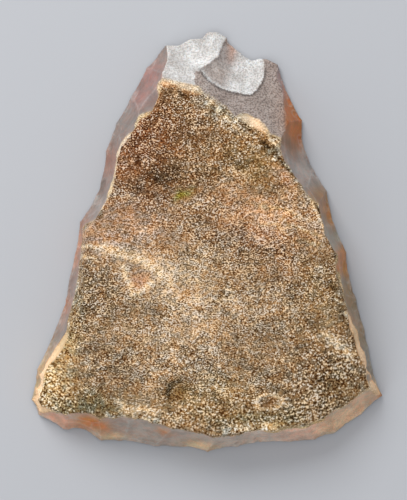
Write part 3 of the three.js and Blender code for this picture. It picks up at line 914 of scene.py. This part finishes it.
# %% Skin, rind and cut stone together
THICK_RIND_SHINE, RUSTY_TINT = 0.22, (0.1, 0.22, 0.32)
rind_colour = painted("cream", RIND_POOLS, x, y) * (0.98 + 0.2 * waves(x, y, 1.6, 241, 3))[:, None]
across_rind = np.sin(math.pi * np.clip(below_crust / (rind_thickness + 0.2), 0, 1))
thick_rind = fade(thick, 1, 2.4)
rusty_sides = (thick_rind * (1 - across_rind))[:, None]
rind_colour = rind_colour * (1 + THICK_RIND_SHINE * thick_rind[:, None]) * (1 - rusty_sides * RUSTY_TINT)
colour = skin_colour * (1 - cut[:, None]) + rind_colour * cut[:, None]
colour = colour * (1 - fresh[:, None]) + stone_colour * fresh[:, None]
print("mean colour of the back:", colour.mean(0).round(3))

# %% [markdown]
# Nobody sees the underside in the picture. It is painted as plain cut stone, with bands that drift
# across it the way they do in chalcedony.

# %% The colour of the underside
UNDER_POOLS = [
    ("pink stone", (-10, 10), (14, 20), 20, 0.8), ("rose", (12, -18), (18, 12), 0, 0.9),
    ("rust", (20, 14), (4, 8), 10, 0.7), ("rust", (-22, -30), (6, 3), 0, 0.7),
    ("pale stone", (-4, 30), (9, 7), 0, 0.9), ("rose", (-14, -14), (7, 5), 30, 0.5),
    ("cream", (16, -30), (9, 3), 10, 0.5), ("pale stone", (2, -4), (12, 3), -35, 0.7),
]
BAND_CONTRAST = 0.3
under_colour = painted("grey stone", UNDER_POOLS, ux[kept], uy[kept], 4)
bands = waves(ux[kept] * 0.45 + uy[kept] * 0.3, uy[kept] * 1.4 - ux[kept] * 0.8, 7, 331, 3)
under_colour = under_colour * (1 + BAND_CONTRAST * bands)[:, None]
print("mean colour of the underside:", under_colour.mean(0).round(3))

# %% Keep the colours on the mesh
def keep(name, back_values, under_value):
    """Stores one number for each point of the mesh."""
    under_values = np.full(int(kept.sum()), under_value, float)
    layer = mesh.attributes.new(name, "FLOAT", "POINT")
    layer.data.foreach_set("value", np.concatenate([back_values, under_values]).astype(np.float32))


both = np.vstack([colour, under_colour])
layer = mesh.attributes.new("tone", "FLOAT_COLOR", "POINT")
layer.data.foreach_set("color", np.hstack([both, np.ones((len(both), 1))]).astype(np.float32).ravel())
keep("fresh", fresh, 1)
keep("rind", cut * (1 - fresh) * (0.4 + 0.45 * fade(thick, 1, 2.6)), 0)  # how plain the rind looks
keep("frosted", frosted, 0.08)
keep("bare", shares_of(0.5, BARE_POOLS) + 0.35 * pale_line - 0.3 * dark_lines_and_pit_shade + 0.3 * flecks, 0.5)
patches = fade(waves(x * 0.8, y * 1.3, 4.4, 321, 3), -0.15, 0.45)
keep("calm", np.maximum(shares_of(0, CALM_POOLS) + 0.5 * patches, 0.75 * pale_line), 0)
keep("coarse", shares_of(0.15, COARSE_POOLS), 0)
print("layers:", [item.name for item in mesh.attributes if not item.name.startswith(".")])

# %% [markdown]
# Shader maths reads best as plain sums, so one small class wraps a socket and makes a Math node for
# each operator. Everything else comes from one method that adds a node, sets it up and connects it.

# %% Writing shaders as sums
class Wire:
    """A socket whose value can be used in a sum."""

    def __init__(self, finish, socket):
        self.finish, self.socket = finish, socket

    def maths(self, operation, first, second):
        return self.finish.node("Math", {"operation": operation}, {0: first, 1: second})

    def __add__(self, other):
        return self.maths("ADD", self, other)

    def __sub__(self, other):
        return self.maths("SUBTRACT", self, other)

    def __rsub__(self, other):
        return self.maths("SUBTRACT", other, self)

    def __mul__(self, other):
        return self.maths("MULTIPLY", self, other)

    __radd__, __rmul__ = __add__, __mul__


class Finish:
    """The material of one piece, built node by node."""

    def __init__(self, name):
        self.material = bpy.data.materials.new(name)
        self.material.use_nodes = True
        self.tree = self.material.node_tree
        self.tree.nodes.clear()

    def node(self, kind, settings=None, sockets=None, out=0):
        """Adds a node: first its settings, then a value or a wire for each of its sockets."""
        made = self.tree.nodes.new("ShaderNode" + kind)
        for name, value in (settings or {}).items():
            setattr(made, name, value)
        for key, value in (sockets or {}).items():
            if isinstance(value, Wire):
                self.tree.links.new(value.socket, made.inputs[key])
            else:
                made.inputs[key].default_value = value
        return Wire(self, made.outputs[out]) if made.outputs else None

    def noise(self, place, per_mm, detail=2.0, roughness=0.5):
        """Blender's noise, with so many waves to the millimetre."""
        sockets = {"Vector": place, "Scale": per_mm / MM, "Detail": detail, "Roughness": roughness}
        return self.node("TexNoise", {}, sockets)

    def step(self, value, start, stop):
        """0 before start, 1 after stop, and a smooth step between."""
        sockets = {"Value": value, "From Min": start, "From Max": stop}
        return self.node("MapRange", {"interpolation_type": "SMOOTHSTEP"}, sockets)

    def mix(self, first, second, share):
        """A colour between two others."""
        return self.node("Mix", {"data_type": "RGBA"}, {0: share, 6: first, 7: second}, 2)

    def tint(self, colour, by):
        """A colour multiplied, part by part, by another."""
        return self.node("VectorMath", {"operation": "MULTIPLY"}, {0: colour, 1: by})

    def layer(self, name, out=2):
        """A number or a colour that is kept on the mesh."""
        return self.node("Attribute", {"attribute_type": "GEOMETRY", "attribute_name": name}, {}, out)


finish = Finish("flaked_chalcedony")
print("finish:", finish.material.name)

# %% [markdown]
# The skin is a crust of grains about a third of a millimetre across: dark brown in the hollows
# between them, cream on their tops. One noise gives both the speckle and the bumps, so that light and
# colour agree, as they do on the real crust. A slower one, the lumps, makes more of the grains pale
# in one place and dark in the next. Two faint drifts of hue, one broad and one narrow, keep the
# browns and the creams from being all alike.

# %% The grains of the skin
GRAINS_PER_MM, COARSE_GRAINS_PER_MM, LUMPS_PER_MM, HUES_PER_MM, FLICKERS_PER_MM = 3.2, 2.5, 0.4, 0.45, 0.9
LUMP_LEAN, BARE_LEAN = 0.22, 0.17
place = finish.node("TexCoord", {}, {}, 3)
tone = finish.layer("tone", 0)
fresh_stone = finish.layer("fresh")
rind_share = finish.layer("rind")
bare = finish.layer("bare")
calm = finish.layer("calm")
coarse = finish.layer("coarse")

streaked = finish.tint(place, (1.0, 1.4, 1.0))
small_grains = finish.noise(finish.tint(place, (1.0, 1.3, 1.0)), GRAINS_PER_MM, 0.5)
grains = small_grains + (finish.noise(place, COARSE_GRAINS_PER_MM, 0.7) - small_grains) * coarse
lumps = finish.noise(streaked, LUMPS_PER_MM, 1.5)
hues = finish.noise(place, HUES_PER_MM, 3.0, 0.6)
lean = (lumps - 0.5) * LUMP_LEAN + (bare - 0.5) * BARE_LEAN
print(f"grains: {GRAINS_PER_MM} to the millimetre, and {COARSE_GRAINS_PER_MM} where they are coarse")

# %% The finish of the skin
WARM_TINT, COOL_TINT = (1.14, 0.96, 0.7), (0.94, 0.98, 0.92)
GRAIN_CREAM, CREAM_SHARE = (1.0, 0.87, 0.68, 1), 0.58
DARK_TO_GROUND, GROUND_TO_PALE = (0.386, 0.45), (0.548, 0.612)
ground = finish.mix(finish.tint(tone, WARM_TINT), finish.tint(tone, COOL_TINT),
                    finish.step(hues, 0.38, 0.62))
pale_grain = finish.mix(finish.mix(finish.tint(tone, (2.5, 2.6, 2.7)), GRAIN_CREAM, CREAM_SHARE),
                        finish.tint(tone, (1.6, 1.6, 1.6)), calm)
dark_grain = finish.mix(finish.tint(ground, (0.2, 0.115, 0.03)),
                        finish.tint(ground, (0.42, 0.31, 0.2)), calm)
with_pale = finish.mix(finish.tint(ground, (0.93, 0.93, 0.93)), pale_grain,
                       finish.step(grains + lean, *GROUND_TO_PALE))
speckled = finish.mix(dark_grain, with_pale, finish.step(grains + lean * 0.8, *DARK_TO_GROUND))
flickers = finish.noise(streaked, FLICKERS_PER_MM, 0.0)
flicker = finish.mix((1.05, 0.98, 0.86, 1), (0.95, 1.0, 1.08, 1), finish.step(flickers, 0.36, 0.64))
skin_look = finish.mix(finish.tint(speckled, flicker), tone, rind_share)

crust_height = grains * 0.34 + lumps * 0.18
crust_bump = finish.node("Bump", {}, {"Strength": 1.0, "Distance": MM, "Height": crust_height})
skin_shader = finish.node("BsdfPrincipled", {}, {
    "Base Color": skin_look, "Roughness": 0.7, "Specular IOR Level": 0.08, "Normal": crust_bump})
print("skin finished, nodes so far:", len(finish.tree.nodes))

# %% [markdown]
# Chalcedony is smooth, waxy and slightly see-through: light goes in, scatters and comes out beside.
# That is what subsurface scattering is for. The colour drifts in faint clouds and fainter blushes of
# pink and grey. The scars at the narrow end have a fine frosted grain instead of the blushes.

# %% The finish of the cut stone
CLOUDS_PER_MM, BLUSHES_PER_MM, FROST_PER_MM = 0.35, 0.9, 2.9
SEE_THROUGH, SCATTER_DEPTH, SCATTER_COLOUR = 0.35, 1.2 * MM, (1.0, 0.7, 0.55)
CHALCEDONY_IOR = 1.54
clouds = finish.noise(place, CLOUDS_PER_MM, 3.0, 0.55)
cloudy = finish.mix(finish.tint(tone, (0.82, 0.79, 0.77)), finish.tint(tone, (1.15, 1.15, 1.15)),
                    finish.step(clouds, 0.3, 0.7))
blushes = finish.noise(place, BLUSHES_PER_MM, 3.0, 0.6)
blushed = finish.mix(finish.tint(cloudy, (1.1, 0.98, 0.93)), finish.tint(cloudy, (0.93, 1.01, 1.03)),
                     finish.step(blushes, 0.38, 0.62))
frost = finish.layer("frosted")
veil = finish.mix(blushed, cloudy, finish.step(frost, 0.3, 0.42))
fine_grain = finish.noise(place, FROST_PER_MM, 1.0)
grained = finish.mix(finish.tint(veil, (0.52, 0.48, 0.45)), finish.tint(veil, (1.3, 1.31, 1.32)),
                     finish.step(fine_grain, 0.34, 0.6))
stone_look = finish.mix(veil, grained, frost * 0.9)
stone_height = fine_grain * frost * 0.15 + finish.noise(place, 0.8) * 0.03
stone_bump = finish.node("Bump", {}, {"Strength": 1.0, "Distance": MM, "Height": stone_height})
stone_shader = finish.node("BsdfPrincipled", {}, {
    "Base Color": stone_look, "Roughness": 0.32 + frost * 0.2, "Normal": stone_bump,
    "Subsurface Weight": SEE_THROUGH, "Subsurface Radius": SCATTER_COLOUR,
    "Subsurface Scale": SCATTER_DEPTH, "IOR": CHALCEDONY_IOR})
whole = finish.node("MixShader", {}, {0: fresh_stone, 1: skin_shader, 2: stone_shader})
finish.node("OutputMaterial", {}, {"Surface": whole})
mesh.materials.append(finish.material)
print("nodes in the finish:", len(finish.tree.nodes))

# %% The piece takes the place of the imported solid
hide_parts("stone_tool")
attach(stone, "root")

# %% [markdown]
# The tool lies on a pale grey table. A large soft light stands beyond the narrow end and a little to
# the left, about forty degrees high, so the far slopes shine and a soft shadow falls on the near
# side. A weaker one fills in from the near left, and the room adds an even light from all around.

# %% Table
TABLE = 2.0  # metres from the middle to each side
table_mesh = bpy.data.meshes.new("table")
corners = [(-TABLE, -TABLE, 0), (TABLE, -TABLE, 0), (TABLE, TABLE, 0), (-TABLE, TABLE, 0)]
table_mesh.from_pydata(corners, [], [(0, 1, 2, 3)])
table = bpy.data.objects.new("table", table_mesh)
bpy.context.scene.collection.objects.link(table)
paper = Finish("pale_card")
paper_shader = paper.node("BsdfPrincipled", {}, {
    "Base Color": (*linear("bfc1c5"), 1), "Roughness": 0.9, "Specular IOR Level": 0.1})
paper.node("OutputMaterial", {}, {"Surface": paper_shader})
table_mesh.materials.append(paper.material)

# %% Lights
def soft_light(name, azimuth, elevation, distance, size, watts):
    """A square light that looks at the tool from so many degrees round +Y and up."""
    lamp = bpy.data.lights.new(name, "AREA")
    lamp.shape, lamp.size, lamp.energy = "SQUARE", size, watts
    light = bpy.data.objects.new(name, lamp)
    a, e = math.radians(azimuth), math.radians(elevation)
    light.location = (distance * math.sin(a) * math.cos(e), distance * math.cos(a) * math.cos(e),
                      distance * math.sin(e))
    light.rotation_euler = (e - math.pi / 2, 0, -a)
    bpy.context.scene.collection.objects.link(light)
    return light


key = soft_light("key", azimuth=-28, elevation=38, distance=0.85, size=0.45, watts=5.3)
soft_light("fill", azimuth=230, elevation=28, distance=1.0, size=0.8, watts=2.1)
ROOM_COLOUR, ROOM_STRENGTH = (0.96, 0.97, 1.0, 1), 0.55
world = bpy.data.worlds.new("room")
world.use_nodes = True
world.node_tree.nodes["Background"].inputs["Color"].default_value = ROOM_COLOUR
world.node_tree.nodes["Background"].inputs["Strength"].default_value = ROOM_STRENGTH
bpy.context.scene.world = world
bpy.context.scene.view_settings.view_transform = "Standard"
print("key light at", tuple(round(t, 2) for t in key.location))

# %% [markdown]
# The camera looks straight down. A long lens from far away keeps the outline free of perspective,
# as a picture of a find should be.

# %% Camera
LENS, SENSOR = 250, 36  # mm
VIEW_LENGTH = 100  # what the longer side of the picture shows
VIEW_MIDDLE = (-0.65, -1.6)
lens_data = bpy.data.cameras.new("camera")
lens_data.lens, lens_data.sensor_width = LENS, SENSOR
lens_data.clip_start, lens_data.clip_end = 0.01, 10
camera = bpy.data.objects.new("camera", lens_data)
camera_height = RIM_LIFT + VIEW_LENGTH * LENS / SENSOR
camera.location = (VIEW_MIDDLE[0] * MM, VIEW_MIDDLE[1] * MM, camera_height * MM)
bpy.context.scene.collection.objects.link(camera)
bpy.context.scene.camera = camera
print(f"camera {camera.location.z:.3f} m above the table")

# %% Finish
print("done")
